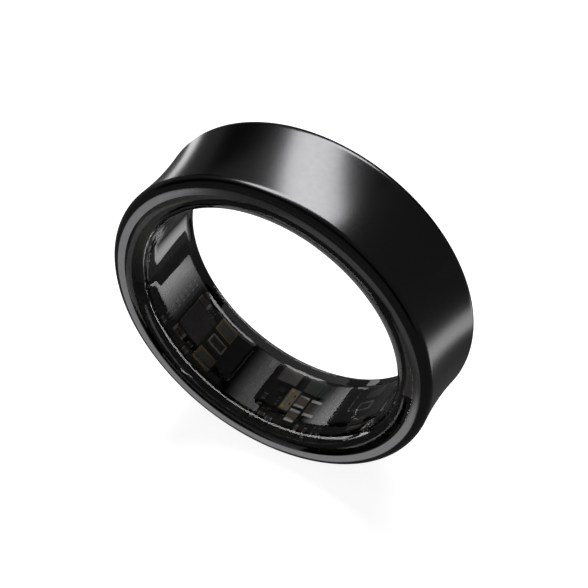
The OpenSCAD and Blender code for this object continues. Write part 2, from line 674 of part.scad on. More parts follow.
// Antenna: a hairpin of thin metal along the liner, fed by a leg from the board
antenna_y = board_hw - 2 * antenna_leg_w;
antenna_from = lead_angle - 90;
antenna_to = 55;
antenna_bend = antenna_leg_w / track_in_r * 180 / PI;
module antenna_strip() color([0.8, 0.65, 0.35]) {
    for (k = [-1, 1])
        strip(track_in_r, track_t, antenna_from, antenna_to,
            antenna_y + (k - 0.5) * antenna_leg_w, antenna_y + (k + 0.5) * antenna_leg_w);
    strip(track_in_r, track_t, antenna_to - antenna_bend, antenna_to,
        antenna_y - antenna_leg_w, antenna_y + antenna_leg_w);
    post(antenna_from, track_w / 2, antenna_y + antenna_leg_w, track_in_r, board_in_r - layer_gap);
}

outer_band();
inner_liner();
left_window();
centre_window();
right_window();
bond_film();
flex_board();
board_islands();
optical_chip();
main_processor();
power_chip();
motion_sensor();
memory_chip();
switch_chip();
crystal_can();
temperature_sensor();
photodiodes();
photodiode_frames();
centre_photodiode();
light_boxes();
light_dies();
light_module();
module_pads();
module_dies();
capacitors();
capacitor_terminals();
resistors();
resistor_terminals();
power_inductor();
inductor_terminals();
test_pads();
battery_cell();
battery_wrap();
battery_tabs();
protection_board();
protection_chips();
charging_coil();
coil_film();
ferrite_sheet();
antenna_strip();
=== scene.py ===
from math import asin, cos, pi, radians, sin, sqrt

import bmesh
import bpy
from mathutils import Matrix, Vector


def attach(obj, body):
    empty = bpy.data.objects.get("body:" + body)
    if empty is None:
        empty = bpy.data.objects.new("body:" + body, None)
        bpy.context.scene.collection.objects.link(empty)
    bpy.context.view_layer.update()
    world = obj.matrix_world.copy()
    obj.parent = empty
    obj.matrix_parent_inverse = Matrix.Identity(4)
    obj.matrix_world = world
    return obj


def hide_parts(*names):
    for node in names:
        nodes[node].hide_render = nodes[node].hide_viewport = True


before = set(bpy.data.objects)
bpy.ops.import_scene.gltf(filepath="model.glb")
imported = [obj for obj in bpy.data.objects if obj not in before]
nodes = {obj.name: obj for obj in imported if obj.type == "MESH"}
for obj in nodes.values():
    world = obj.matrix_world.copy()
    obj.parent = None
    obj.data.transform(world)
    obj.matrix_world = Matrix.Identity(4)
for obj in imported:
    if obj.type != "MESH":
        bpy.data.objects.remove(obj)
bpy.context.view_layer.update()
mm = 0.001  # everything below is written in millimetres
print("frame loaded:", len(nodes), "nodes")

scene = bpy.context.scene
scene.view_settings.view_transform = "Standard"

# The camera stands where the photograph was taken from
camera = {
    "azimuth": 29.89, "elevation": 45.08, "distance": 112.93,
    "right": 0.2345, "up": 0.306, "lens": 103.49, "sensor": 36,
}


def direction(azimuth, elevation):
    a, e = radians(azimuth), radians(elevation)
    return Vector((sin(a) * cos(e), -cos(a) * cos(e), sin(e)))


cameraData = bpy.data.cameras.new("camera")
cameraData.lens = camera["lens"]
cameraData.sensor_width = camera["sensor"]
cameraData.clip_start, cameraData.clip_end = 0.001, 10
cameraObject = bpy.data.objects.new("camera", cameraData)
scene.collection.objects.link(cameraObject)
back = direction(camera["azimuth"], camera["elevation"])
right = (-back).cross(Vector((0, 0, 1))).normalized()
up = right.cross(-back)
cameraObject.location = (back * camera["distance"] + right * camera["right"] + up * camera["up"]) * mm
cameraObject.rotation_mode = "QUATERNION"
cameraObject.rotation_quaternion = (-back).to_track_quat("-Z", "Y")
scene.camera = cameraObject


def newMaterial(name):
    material = bpy.data.materials.new(name)
    material.use_nodes = True
    tree = material.node_tree
    return material, tree, tree.nodes["Principled BSDF"], tree.nodes["Material Output"]


def addNode(tree, kind, settings=(), **inputs):
    node = tree.nodes.new(kind)
    for key, value in dict(settings).items():
        setattr(node, key, value)
    for key, value in inputs.items():
        node.inputs[key.replace("_", " ")].default_value = value
    return node


def newGroup(name, ins, outs):
    group = bpy.data.node_groups.new(name, "ShaderNodeTree")
    for socket, value in ins.items():
        kind = "NodeSocketColor" if isinstance(value, tuple) else "NodeSocketFloat"
        made = group.interface.new_socket(name=socket, in_out="INPUT", socket_type=kind)
        made.default_value = value
    for socket, kind in outs.items():
        group.interface.new_socket(name=socket, in_out="OUTPUT", socket_type=kind)
    return group, group.nodes.new("NodeGroupInput"), group.nodes.new("NodeGroupOutput")


grainCloud = {"scale": 260.0, "share": 0.12, "bumpDistance": 0.00001}  # wide soft clouds in the fine grain


def makeGrain():  # fine blasted grain: a value round Base, and a normal
    group, start, end = newGroup(
        "fineGrain", {"Scale": 9000.0, "Base": 0.3, "Spread": 0.05, "Depth": 0.1},
        {"Roughness": "NodeSocketFloat", "Normal": "NodeSocketVector"})
    link = group.links.new
    place = addNode(group, "ShaderNodeTexCoord")
    noise = addNode(group, "ShaderNodeTexNoise", Detail=3.0, Roughness=0.6)
    cloud = addNode(group, "ShaderNodeTexNoise", Detail=2.0, Roughness=0.5, Scale=grainCloud["scale"])
    both = addNode(group, "ShaderNodeMix", {"data_type": "FLOAT"}, Factor=grainCloud["share"])
    spread = addNode(group, "ShaderNodeMath", {"operation": "SUBTRACT"})
    spread.inputs[1].default_value = 0.5  # the middle of the noise
    scaled = addNode(group, "ShaderNodeMath", {"operation": "MULTIPLY_ADD"})
    bump = addNode(group, "ShaderNodeBump", Distance=grainCloud["bumpDistance"])
    link(place.outputs["Object"], noise.inputs["Vector"])
    link(place.outputs["Object"], cloud.inputs["Vector"])
    link(start.outputs["Scale"], noise.inputs["Scale"])
    link(noise.outputs["Fac"], both.inputs[2])
    link(cloud.outputs["Fac"], both.inputs[3])
    link(both.outputs[0], spread.inputs[0])
    link(spread.outputs[0], scaled.inputs[0])
    link(start.outputs["Spread"], scaled.inputs[1])
    link(start.outputs["Base"], scaled.inputs[2])
    link(scaled.outputs[0], end.inputs["Roughness"])
    link(noise.outputs["Fac"], bump.inputs["Height"])
    link(start.outputs["Depth"], bump.inputs["Strength"])
    link(bump.outputs["Normal"], end.inputs["Normal"])
    return group


def makeMottle():  # two shades in soft patches or fine cells
    group, start, end = newGroup(
        "mottle", {"Dark": (0.1, 0.1, 0.1, 1), "Light": (0.2, 0.2, 0.2, 1), "Scale": 2500.0, "Speckle": 0.3},
        {"Color": "NodeSocketColor"})
    link = group.links.new
    place = addNode(group, "ShaderNodeTexCoord")
    noise = addNode(group, "ShaderNodeTexNoise", Detail=4.0, Roughness=0.55)
    cells = addNode(group, "ShaderNodeTexVoronoi")
    both = addNode(group, "ShaderNodeMix", {"data_type": "FLOAT"})
    ramp = addNode(group, "ShaderNodeMapRange")
    ramp.inputs["From Min"].default_value, ramp.inputs["From Max"].default_value = 0.3, 0.7
    colour = addNode(group, "ShaderNodeMix", {"data_type": "RGBA"})
    link(place.outputs["Object"], noise.inputs["Vector"])
    link(place.outputs["Object"], cells.inputs["Vector"])
    link(start.outputs["Scale"], noise.inputs["Scale"])
    link(start.outputs["Scale"], cells.inputs["Scale"])
    link(start.outputs["Speckle"], both.inputs[0])
    link(noise.outputs["Fac"], both.inputs[2])
    link(cells.outputs["Distance"], both.inputs[3])
    link(both.outputs[0], ramp.inputs["Value"])
    link(ramp.outputs["Result"], colour.inputs[0])
    link(start.outputs["Dark"], colour.inputs[6])
    link(start.outputs["Light"], colour.inputs[7])
    link(colour.outputs[2], end.inputs["Color"])
    return group


grain, mottle = makeGrain(), makeMottle()


def useGroup(tree, group, **values):
    node = tree.nodes.new("ShaderNodeGroup")
    node.node_tree = group
    for key, value in values.items():
        node.inputs[key].default_value = value
    return node


def plainMaterial(name, dark, light, roughness, metallic=0.0, scale=2500.0, speckle=0.3, spread=0.08,
                  depth=0.1, grainScale=14000.0):
    material, tree, shader, _ = newMaterial(name)
    patches = useGroup(tree, mottle, Dark=(*dark, 1), Light=(*light, 1), Scale=scale, Speckle=speckle)
    fine = useGroup(tree, grain, Scale=grainScale, Base=roughness, Spread=spread, Depth=depth)
    tree.links.new(patches.outputs["Color"], shader.inputs["Base Color"])
    tree.links.new(fine.outputs["Roughness"], shader.inputs["Roughness"])
    tree.links.new(fine.outputs["Normal"], shader.inputs["Normal"])
    shader.inputs["Metallic"].default_value = metallic
    return material


resin = {
    "roughness": 0.015, "roughSpread": 0.02, "patchScale": 900.0, "ior": 1.5, "density": 2000.0,
    "smoke": (0.40, 0.39, 0.37, 1), "surface": (0.96, 0.96, 0.95, 1), "shadowPass": 0.75,
}


def resinMaterial(name):
    material, tree, shader, output = newMaterial(name)
    fine = useGroup(tree, grain, Scale=resin["patchScale"], Base=resin["roughness"], Spread=resin["roughSpread"],
                    Depth=0.0)
    path = addNode(tree, "ShaderNodeLightPath")
    clear = addNode(tree, "ShaderNodeMath", {"operation": "MULTIPLY_ADD"})
    clear.inputs[1].default_value, clear.inputs[2].default_value = -resin["shadowPass"], 1.0  # light reaches the parts
    smoke = addNode(tree, "ShaderNodeVolumeAbsorption", Density=resin["density"], Color=resin["smoke"])
    tree.links.new(fine.outputs["Roughness"], shader.inputs["Roughness"])
    tree.links.new(path.outputs["Is Shadow Ray"], clear.inputs[0])
    tree.links.new(clear.outputs[0], shader.inputs["Alpha"])
    tree.links.new(smoke.outputs["Volume"], output.inputs["Volume"])
    shader.inputs["Base Color"].default_value = resin["surface"]
    shader.inputs["Transmission Weight"].default_value = 1.0
    shader.inputs["IOR"].default_value = resin["ior"]
    return material


materials = {
    "blackMetal": plainMaterial("blackMetal", (0.066, 0.066, 0.068), (0.071, 0.071, 0.073), 0.22, 1.0,
                                spread=0.04, depth=0.035, grainScale=16000.0),
    # The rim's metal is the band's metal painted lighter, a painted reflection on the flat ends; only its lower
    # roughness is polish
    "polishedRimPaintedSheen": plainMaterial("polishedRimPaintedSheen", (0.17, 0.17, 0.175), (0.19, 0.19, 0.195), 0.16, 1.0,
                                 spread=0.04, depth=0.03),
    "smokyResin": resinMaterial("smokyResin"),
    "glueFilm": plainMaterial("glueFilm", (0.04, 0.038, 0.03), (0.06, 0.055, 0.045), 0.7),
    "flexFilm": plainMaterial("flexFilm", (0.03, 0.033, 0.03), (0.05, 0.054, 0.05), 0.4, scale=1200.0),
    "boardMask": plainMaterial("boardMask", (0.035, 0.04, 0.036), (0.075, 0.08, 0.075), 0.35, scale=3500.0,
                               speckle=0.7),
    "bareSilicon": plainMaterial("bareSilicon", (0.10, 0.085, 0.11), (0.15, 0.13, 0.16), 0.2, scale=1800.0),
    "chipBlack": plainMaterial("chipBlack", (0.025, 0.025, 0.026), (0.045, 0.045, 0.047), 0.55),
    "sensorGrey": plainMaterial("sensorGrey", (0.16, 0.165, 0.17), (0.22, 0.225, 0.23), 0.4),
    "canMetal": plainMaterial("canMetal", (0.55, 0.55, 0.53), (0.65, 0.65, 0.63), 0.3, 1.0),
    "diodeGlass": plainMaterial("diodeGlass", (0.36, 0.365, 0.37), (0.42, 0.425, 0.43), 0.12, scale=900.0),
    "gold": plainMaterial("gold", (0.75, 0.52, 0.16), (0.90, 0.66, 0.25), 0.28, 1.0),
    "greenGlass": plainMaterial("greenGlass", (0.16, 0.22, 0.20), (0.22, 0.29, 0.27), 0.1, scale=700.0),
    "lightBoxWhite": plainMaterial("lightBoxWhite", (0.50, 0.50, 0.49), (0.62, 0.62, 0.61), 0.3),
    "lightDie": plainMaterial("lightDie", (0.16, 0.34, 0.26), (0.24, 0.45, 0.35), 0.2),
    "ceramicWhite": plainMaterial("ceramicWhite", (0.76, 0.76, 0.73), (0.84, 0.84, 0.81), 0.5),
    "darkDie": plainMaterial("darkDie", (0.05, 0.035, 0.03), (0.09, 0.06, 0.05), 0.2),
    "capacitorBrown": plainMaterial("capacitorBrown", (0.22, 0.17, 0.13), (0.32, 0.25, 0.20), 0.5, scale=5000.0),
    "tin": plainMaterial("tin", (0.55, 0.55, 0.55), (0.7, 0.7, 0.7), 0.35, 1.0),
    "resistorBlue": plainMaterial("resistorBlue", (0.09, 0.10, 0.19), (0.14, 0.15, 0.26), 0.25),
    "ferriteGrey": plainMaterial("ferriteGrey", (0.09, 0.09, 0.09), (0.14, 0.14, 0.14), 0.6, scale=6000.0),
    "batteryFoil": plainMaterial("batteryFoil", (0.36, 0.37, 0.39), (0.44, 0.45, 0.47), 0.35, 1.0),
    "blackFilm": plainMaterial("blackFilm", (0.012, 0.012, 0.012), (0.02, 0.02, 0.02), 0.45),
    "copper": plainMaterial("copper", (0.030, 0.018, 0.012), (0.045, 0.026, 0.018), 0.45, 1.0),
}

finishes = {
    "bond_film": "glueFilm", "flex_board": "flexFilm", "board_islands": "boardMask", "optical_chip": "bareSilicon",
    "main_processor": "chipBlack", "power_chip": "chipBlack", "motion_sensor": "sensorGrey",
    "memory_chip": "chipBlack", "switch_chip": "chipBlack", "crystal_can": "canMetal",
    "temperature_sensor": "sensorGrey", "photodiodes": "diodeGlass", "photodiode_frames": "gold",
    "centre_photodiode": "greenGlass", "light_boxes": "lightBoxWhite", "light_dies": "lightDie",
    "light_module": "ceramicWhite", "module_pads": "gold", "module_dies": "darkDie",
    "capacitors": "capacitorBrown", "capacitor_terminals": "tin", "resistors": "resistorBlue",
    "resistor_terminals": "tin", "power_inductor": "ferriteGrey", "inductor_terminals": "tin", "test_pads": "tin",
    "battery_cell": "batteryFoil", "battery_wrap": "blackFilm", "battery_tabs": "canMetal",
    "protection_board": "boardMask", "protection_chips": "chipBlack", "charging_coil": "copper",
    "coil_film": "blackFilm", "ferrite_sheet": "ferriteGrey", "antenna_strip": "gold",
}
for name, finish in finishes.items():
    slots = nodes[name].data.materials
    slots.clear()
    slots.append(materials[finish])
print("materials made:", len(materials))


meshing = {"weld": 0.0005, "mirrorMerge": 0.001, "smoothAngle": 35}


def shadeSmooth(mesh):
    mesh.shade_smooth()
    mesh.set_sharp_from_angle(angle=radians(meshing["smoothAngle"]))


def finishPiece(bm, name, materialNames, replaced):
    bmesh.ops.remove_doubles(bm, verts=bm.verts, dist=meshing["weld"] * mm)
    bmesh.ops.recalc_face_normals(bm, faces=bm.faces)
    mesh = bpy.data.meshes.new(name)
    bm.to_mesh(mesh)
    bm.free()
    piece = bpy.data.objects.new(name, mesh)
    scene.collection.objects.link(piece)
    for materialName in materialNames:
        mesh.materials.append(materials[materialName])
    shadeSmooth(mesh)
    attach(piece, "root")
    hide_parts(*replaced)
    return piece


# An arc is drawn by spinning its first point in the section's plane
def drawArc(bm, start, centre, turn, steps):
    bmesh.ops.spin(bm, geom=[start], cent=Vector((*centre, 0)) * mm, axis=(0, 0, 1), angle=turn, steps=steps)
    bm.verts.ensure_lookup_table()
    return bm.verts[-1]


# A line is carried on through more points of the section, each by extruding the last one
def drawLine(bm, start, places):
    last = start
    for x, y in places:
        last = bmesh.ops.extrude_vert_indiv(bm, verts=[last])["verts"][0]
        last.co = Vector((x, y, 0)) * mm


# The point of the section nearest to a place
def pointAt(bm, x, y):
    return min(bm.verts, key=lambda v: (v.co - Vector((x, y, 0)) * mm).length)


def roundCorner(bm, corner, width, segments):
    bmesh.ops.bevel(bm, geom=[corner], offset=width * mm, segments=segments, profile=0.5, affect="VERTICES",
                    material=-1)


# Half a section is mirrored over the middle of the ring and spun right round the finger
def turnSection(bm, steps):
    bmesh.ops.mirror(bm, geom=bm.verts[:] + bm.edges[:], axis="Y", merge_dist=meshing["mirrorMerge"] * mm)
    bmesh.ops.spin(bm, geom=bm.verts[:] + bm.edges[:], cent=(0, 0, 0), axis=(0, 1, 0), angle=2 * pi,
                   steps=steps, use_merge=True)


band = {
    "halfWidth": 3.5, "waist": 11.88, "crest": 12.05, "lip": 0.62, "land": 10.91, "channel": 11.10,
    "channelHalf": 2.9, "rimCorner": 0.025, "cornerSegments": 3, "waistSteps": 26, "lipSteps": 22,
    "rimDepth": 0.001, "steps": 360,
}


def makeBand():
    bm = bmesh.new()
    lipY = band["halfWidth"] - band["lip"]
    dip = band["crest"] - band["waist"]
    waistArc = (lipY ** 2 - 2 * band["lip"] * dip + dip ** 2) / (2 * dip)
    turn = asin(lipY / (waistArc + band["lip"]))
    start = bm.verts.new(Vector((band["waist"], 0, 0)) * mm)
    end = drawArc(bm, start, (band["waist"] + waistArc, 0), -turn, band["waistSteps"])
    end = drawArc(bm, end, (band["crest"] - band["lip"], lipY), pi / 2 + turn, band["lipSteps"])
    drawLine(bm, end, [(band["land"], band["halfWidth"]), (band["land"], band["channelHalf"]),
                       (band["channel"], band["channelHalf"]), (band["channel"], 0)])
    roundCorner(bm, pointAt(bm, band["land"], band["halfWidth"]), band["rimCorner"], band["cornerSegments"])
    turnSection(bm, band["steps"])
    rim = (band["halfWidth"] - band["rimDepth"]) * mm
    piece = finishPiece(bm, "outerBand", ["blackMetal", "polishedRimPaintedSheen"], ["outer_band"])
    for face in piece.data.polygons:  # the flat ends are polished, and their metal is painted lighter than the band's: a painted reflection
        if abs(face.center.y) > rim:
            face.material_index = 1
    return piece


outerBand = makeBand()
print("band made:", len(outerBand.data.polygons), "faces")

# The liner and the windows are cast in one
liner = {
    "bore": 9.45, "straight": 2.0, "flare": 0.15, "edgeDrop": 0.46, "endFlat": 0.4, "edgeRound": 0.13,
    "bendRound": 0.15, "keep": 0.22, "seamRound": 0.035, "sink": 0.012, "slopeShare": 0.83, "slopeSteps": 14,
    "edgeSegments": 6, "bendSegments": 4, "seamSegments": 2, "steps": 480,
}
window = {
    "angle": 41.4, "sideWidth": 5.4, "centreWidth": 3.8, "length": 4.2, "corner": 0.55, "proud": 0.18,
    "border": 0.75, "crown": 0.055, "groove": 0.07, "grooveDepth": 0.09, "overlap": 0.1, "borderSteps": 8,
    "crownShares": (0.86, 0.72, 0.58, 0.44, 0.3, 0.15), "cornerSegments": 8, "sideCuts": 23,
}


def makeLinerSection():
    bm = bmesh.new()
    half = band["halfWidth"]
    land, channel = band["land"] + liner["sink"], band["channel"] + liner["sink"]
    flatX = band["land"] - liner["endFlat"]
    cornerX = liner["bore"] + liner["flare"]
    span = flatX - cornerX
    arc = (span ** 2 + liner["edgeDrop"] ** 2) / (2 * liner["edgeDrop"])
    start = bm.verts.new(Vector((flatX, half, 0)) * mm)
    turn = asin(span / arc)
    slope = drawArc(bm, start, (flatX, half - arc), turn * liner["slopeShare"], liner["slopeSteps"])
    corner = drawArc(bm, slope, (flatX, half - arc), turn * (1 - liner["slopeShare"]), 1)
    lift, keep = half - liner["edgeDrop"] - liner["straight"], liner["keep"]
    drawLine(bm, corner, [  # loops beside each bend keep the long faces' normals straight
        (cornerX - liner["flare"] * keep / lift, half - liner["edgeDrop"] - keep),
        (liner["bore"] + liner["flare"] * keep / lift, liner["straight"] + keep),
        (liner["bore"], liner["straight"]), (liner["bore"], liner["straight"] - keep), (liner["bore"], 0)])
    drawLine(bm, start, [(land, half), (land, band["channelHalf"] + liner["sink"]),
                         (channel, band["channelHalf"] + liner["sink"]), (channel, 0)])
    roundCorner(bm, corner, liner["edgeRound"], liner["edgeSegments"])
    roundCorner(bm, pointAt(bm, liner["bore"], liner["straight"]), liner["bendRound"], liner["bendSegments"])
    roundCorner(bm, pointAt(bm, land, half), liner["seamRound"], liner["seamSegments"])
    turnSection(bm, liner["steps"])
    bmesh.ops.recalc_face_normals(bm, faces=bm.faces)
    return bm


# Rings of the window's skin: share of the outline's half length and half width, then radius
def pillowRings(halfLength, halfWidth):
    rings = []
    for step in range(window["borderSteps"] + 1):  # up over the rounded border
        share = step / window["borderSteps"]
        inset = window["border"] * share
        rings.append((1 - inset / halfLength, 1 - inset / halfWidth,
                      liner["bore"] - (window["proud"] - window["crown"]) * (1 - (1 - share) ** 2)))
    flatLength, flatWidth, edge = rings[-1]
    for share in window["crownShares"]:  # and on over the crown to its middle
        rings.append((flatLength * share, flatWidth * share, edge - window["crown"] * (1 - share ** 2)))
    return rings


# A closed block on the window's rounded outline, with its skin drawn ring by ring. It is drawn flat, with X as the
# radius, and then each ring is laid on its own cylinder and turned to its station
def makeWindow(name, angle, width, grow, root, rings):
    bm = bmesh.new()
    halfLength, halfWidth, corner = window["length"] / 2 + grow, width / 2 + grow, window["corner"] + grow
    corners = [bm.verts.new((root, y * halfLength, z * halfWidth)) for y, z in ((1, 1), (1, -1), (-1, -1), (-1, 1))]
    bm.faces.new(corners)
    bmesh.ops.bevel(bm, geom=corners, offset=corner, segments=window["cornerSegments"], profile=0.5,
                    affect="VERTICES", material=-1)
    sides = [edge for edge in bm.edges if edge.calc_length() > corner]
    bmesh.ops.subdivide_edges(bm, edges=sides, cuts=window["sideCuts"])
    ring, last = bm.edges[:], (1, 1)
    for lengthShare, widthShare, radius in rings:
        made = bmesh.ops.extrude_edge_only(bm, edges=ring)["geom"]
        verts = [part for part in made if isinstance(part, bmesh.types.BMVert)]
        ring = [part for part in made if isinstance(part, bmesh.types.BMEdge)]
        bmesh.ops.scale(bm, vec=(1, lengthShare / last[0], widthShare / last[1]), verts=verts)
        bmesh.ops.translate(bm, vec=(radius - verts[0].co.x, 0, 0), verts=verts)
        last = (lengthShare, widthShare)
    cap = bmesh.ops.contextual_create(bm, geom=ring)["faces"]
    if len(rings) > 1:
        bmesh.ops.poke(bm, faces=cap)
    for v in bm.verts:
        v.co.x = sqrt(v.co.x ** 2 - v.co.z ** 2)
    bmesh.ops.recalc_face_normals(bm, faces=bm.faces)
    bmesh.ops.rotate(bm, matrix=Matrix.Rotation(radians(-270 - angle), 3, "Y"), verts=bm.verts)
    bmesh.ops.scale(bm, vec=(mm, mm, mm), verts=bm.verts)
    mesh = bpy.data.meshes.new(name)
    bm.to_mesh(mesh)
    bm.free()
    tool = bpy.data.objects.new(name, mesh)
    scene.collection.objects.link(tool)
    tool.hide_render = True
    return tool


# A cut can leave crumbs shut inside the resin, so only the piece that holds the first face stays
def dropCrumbs(mesh):
    bm = bmesh.new()
    bm.from_mesh(mesh)
    bm.faces.ensure_lookup_table()
    body, edge = {bm.faces[0]}, [bm.faces[0]]
    while edge:
        near = {other for side in edge.pop().edges for other in side.link_faces} - body
        body |= near
        edge += near
    bmesh.ops.delete(bm, geom=[face for face in bm.faces if face not in body], context="FACES")
    bm.to_mesh(mesh)
    bm.free()


def makeLiner():
    bm = makeLinerSection()
    piece = finishPiece(bm, "smokyLiner", ["smokyResin"],
                        ["inner_liner", "left_window", "centre_window", "right_window"])
    tools = []
    for angle, width in ((-window["angle"], window["sideWidth"]), (0, window["centreWidth"]),
                         (window["angle"], window["sideWidth"])):
        groove = makeWindow("grooveTool", angle, width, window["groove"], liner["bore"] + window["grooveDepth"],
                            [(1, 1, liner["bore"] - window["proud"] - window["overlap"])])
        pillow = makeWindow("pillowTool", angle, width, 0, liner["bore"] + window["grooveDepth"] + window["overlap"],
                            pillowRings(window["length"] / 2, width / 2))
        tools += [(groove, "DIFFERENCE"), (pillow, "UNION")]
    for tool, operation in tools:
        cut = piece.modifiers.new(tool.name, "BOOLEAN")
        cut.object, cut.operation, cut.solver = tool, operation, "EXACT"
    evaluated = piece.evaluated_get(bpy.context.evaluated_depsgraph_get())
    mesh = bpy.data.meshes.new_from_object(evaluated)
    piece.modifiers.clear()
    piece.data = mesh
    dropCrumbs(mesh)
    shadeSmooth(mesh)
    for tool, _ in tools:
        bpy.data.objects.remove(tool)
    return piece


smokyLiner = makeLiner()
print("liner made:", len(smokyLiner.data.polygons), "faces")


# How far each small part's edges are rounded, as moulded and fired parts are
edgeWidths = {
    "optical_chip": 0.02, "main_processor": 0.02, "power_chip": 0.02, "motion_sensor": 0.03, "memory_chip": 0.02,
    "switch_chip": 0.015, "crystal_can": 0.05, "temperature_sensor": 0.03, "photodiodes": 0.02,
    "centre_photodiode": 0.03, "light_boxes": 0.03, "light_module": 0.02, "capacitors": 0.015,
    "capacitor_terminals": 0.03, "resistors": 0.015, "resistor_terminals": 0.02, "power_inductor": 0.03,
    "inductor_terminals": 0.04, "protection_chips": 0.02,
}
edgeSegments, edgeAngle = 2, 40


def soften(name, width):
    weld = nodes[name].modifiers.new("weld", "WELD")
    weld.merge_threshold = meshing["weld"] * mm
    bevel = nodes[name].modifiers.new("soften", "BEVEL")
    bevel.width, bevel.segments = width * mm, edgeSegments
    bevel.limit_method, bevel.angle_limit = "ANGLE", radians(edgeAngle)


for name, width in edgeWidths.items():
    soften(name, width)
print("edges softened:", len(edgeWidths), "nodes")


stage = {
    "floor": -12.05, "floorSize": 2000, "white": 0.9, "paper": 0.5, "roughness": 0.9, "lift": 0.02, "cardLift": 0.03,
    "world": 0.12, "tent": 0.09, "tentSize": 800,
}


def raySum(tree, names):  # adds up kinds of ray from Light Path
    path = addNode(tree, "ShaderNodeLightPath")
    last = path.outputs[names[0]]
    for name in names[1:]:
        both = addNode(tree, "ShaderNodeMath", {"operation": "MAXIMUM"})
        tree.links.new(last, both.inputs[0])
        tree.links.new(path.outputs[name], both.inputs[1])
        last = both.outputs[0]
    return last


def makeFloor():
    bm = bmesh.new()
    bmesh.ops.create_circle(bm, cap_ends=True, radius=stage["floorSize"] * mm, segments=64)
    bmesh.ops.translate(bm, vec=(0, 0, stage["floor"] * mm), verts=bm.verts)
    mesh = bpy.data.meshes.new("floor")
    bm.to_mesh(mesh)
    bm.free()
    floor = bpy.data.objects.new("floor", mesh)
    scene.collection.objects.link(floor)
    material, tree, shader, _ = newMaterial("paperFloor")
    seen = raySum(tree, ["Is Camera Ray", "Is Glossy Ray", "Is Transmission Ray"])
    strength = addNode(tree, "ShaderNodeMath", {"operation": "MULTIPLY"})
    strength.inputs[1].default_value = stage["white"]
    tree.links.new(seen, strength.inputs[0])
    tree.links.new(strength.outputs[0], shader.inputs["Emission Strength"])
    shader.inputs["Emission Color"].default_value = (1, 1, 1, 1)
    shader.inputs["Base Color"].default_value = (stage["paper"],) * 3 + (1,)
    shader.inputs["Roughness"].default_value = stage["roughness"]
    shader.inputs["Specular IOR Level"].default_value = 0.0
    mesh.materials.append(material)


makeFloor()


# Only reflections see these things, as with cards hung round a glossy black thing. fade gives each axis the card
# darkens along, and the two places between which it does
def makeStageThing(name, bm, level, receivers=None, fade=None, oneSided=False):
    mesh = bpy.data.meshes.new(name)
    bm.to_mesh(mesh)
    bm.free()
    thing = bpy.data.objects.new(name, mesh)
    scene.collection.objects.link(thing)
    material, tree, shader, _ = newMaterial(name)
    shader.inputs["Base Color"].default_value = (0, 0, 0, 1)
    shader.inputs["Specular IOR Level"].default_value = 0.0
    shader.inputs["Emission Color"].default_value = (1, 1, 1, 1)
    shader.inputs["Emission Strength"].default_value = level
    last = None
    for axis, (bright, dark) in (fade or {}).items():
        place = addNode(tree, "ShaderNodeTexCoord")
        split = addNode(tree, "ShaderNodeSeparateXYZ")
        ramp = addNode(tree, "ShaderNodeMapRange", {"interpolation_type": "SMOOTHSTEP"})
        for socket, value in zip(("From Min", "From Max", "To Min", "To Max"), (bright * mm, dark * mm, 1, 0)):
            ramp.inputs[socket].default_value = value
        times = addNode(tree, "ShaderNodeMath", {"operation": "MULTIPLY"})
        times.inputs[0].default_value = level
        if last:
            tree.links.new(last, times.inputs[0])
        tree.links.new(place.outputs["Object"], split.inputs[0])
        tree.links.new(split.outputs[axis], ramp.inputs["Value"])
        tree.links.new(ramp.outputs["Result"], times.inputs[1])
        last = times.outputs[0]
        tree.links.new(last, shader.inputs["Emission Strength"])
    if oneSided:
        side = addNode(tree, "ShaderNodeNewGeometry")
        front = addNode(tree, "ShaderNodeMath", {"operation": "SUBTRACT"})
        front.inputs[0].default_value = 1.0
        tree.links.new(side.outputs["Backfacing"], front.inputs[1])
        tree.links.new(front.outputs[0], shader.inputs["Alpha"])
    mesh.materials.append(material)
    thing.visible_camera = thing.visible_diffuse = thing.visible_transmission = thing.visible_shadow = False
    if receivers:
        thing.light_linking.receiver_collection = receivers


# A card is one-sided, and faces the ring
def makeCard(name, level, corners, receivers=None, fade=None):
    bm = bmesh.new()
    face = bm.faces.new([bm.verts.new(Vector(c) * mm) for c in corners])
    face.normal_update()
    if face.normal.dot(face.calc_center_median()) > 0:
        face.normal_flip()
    makeStageThing(name, bm, level, receivers, fade, oneSided=True)


# An area lamp stands at one place and faces another, its height along a given line
def makeLamp(name, stands, faces, along, width, height, radiance, receivers):
    lamp = bpy.data.lights.new(name, "AREA")
    lamp.shape = "RECTANGLE"
    lamp.size, lamp.size_y = width * mm, height * mm
    lamp.energy = radiance * pi * lamp.size * lamp.size_y
    thing = bpy.data.objects.new(name, lamp)
    scene.collection.objects.link(thing)
    z = (Vector(stands) - Vector(faces)).normalized()
    y = Vector(along)
    y = (y - z * y.dot(z)).normalized()
    x = y.cross(z)
    thing.matrix_world = Matrix.Translation(Vector(stands) * mm) @ Matrix((x, y, z)).transposed().to_4x4()
    thing.visible_camera = False
    thing.visible_transmission = False
    thing.light_linking.receiver_collection = receivers


def collect(name, things):
    group = bpy.data.collections.new(name)
    for thing in things:
        group.objects.link(thing)
    return group


floorTop = stage["floor"] + stage["lift"]
cardTop = floorTop + stage["cardLift"]
resinOnly = collect("resinOnly", [smokyLiner])
metalOnly = collect("metalOnly", [outerBand])
allButResin = collect("allButResin", [o for o in scene.objects if o.type == "MESH" and o != smokyLiner])


def lay(height, *places):  # corners of a card that lies flat
    return [(x, y, height) for x, y in places]


def stand(y, *places):  # corners of a card that stands behind the ring
    return [(x, y, z) for x, z in places]


def side(x, *places):  # corners of a card that stands at the ring's side, or inside it
    return [(x, y, z) for y, z in places]


